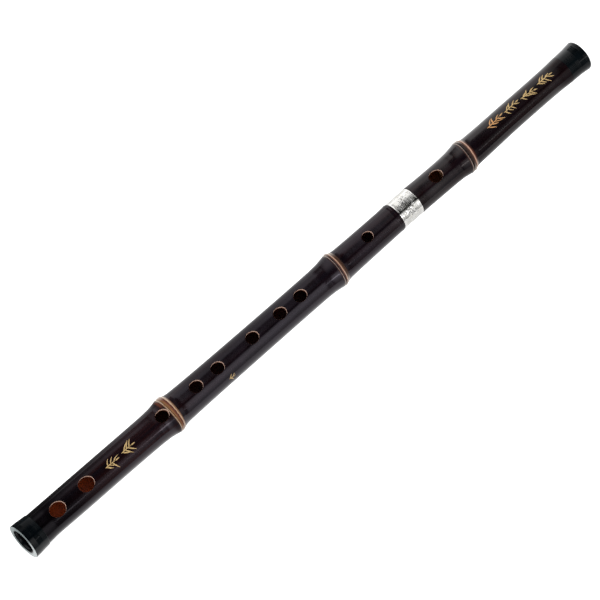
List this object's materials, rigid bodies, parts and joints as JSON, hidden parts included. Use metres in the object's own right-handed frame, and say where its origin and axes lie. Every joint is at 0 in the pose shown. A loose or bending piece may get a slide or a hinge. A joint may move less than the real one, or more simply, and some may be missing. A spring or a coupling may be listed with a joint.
{
  "type": "bamboo flute",
  "caption": "Side-blown bamboo flute in two sections with a metal tuning slide, an engraved joint ring, black end caps, a stopper and a row of oval tone holes.",
  "frame": {"origin": "centre of the open bore at the foot section's end face", "axes": "+X along the bore towards the head end; the row of finger holes faces +Z; +Y completes the frame"},
  "size_m": [0.5, 0.0268, 0.0268],
  "materials": {
    "bamboo": "dark purple-black bamboo with tan node scars, polished under thin clear lacquer",
    "horn": "polished black horn or resin",
    "nickel_silver": "polished nickel silver with an engraved band",
    "slide_metal": "plain drawn nickel-silver tube, lightly brushed",
    "cork": "natural cork"
  },
  "bodies": {
    "foot_section": {"body_bamboo": "bamboo", "foot_cap": "horn", "joint_ring": "nickel_silver", "socket_sleeve": "slide_metal", "liner_sleeve": "slide_metal"},
    "tenon": {"tenon_sleeve": "slide_metal"},
    "head_section": {"head_bamboo": "bamboo", "head_cap": "horn"},
    "stopper": {"stopper": "cork"}
  },
  "joints": [
    {"name": "tuning_slide", "type": "slide", "parent": "foot_section", "child": "tenon", "axis": [1, 0, 0], "range_m": [0, 0.012]},
    {"name": "head_twist", "type": "hinge", "parent": "tenon", "child": "head_section", "pos_m": [0.3436, 0, 0], "axis": [1, 0, 0], "continuous": true},
    {"name": "stopper_slide", "type": "slide", "parent": "head_section", "child": "stopper", "axis": [1, 0, 0], "range_m": [-0.002, 0.002]}
  ]
}
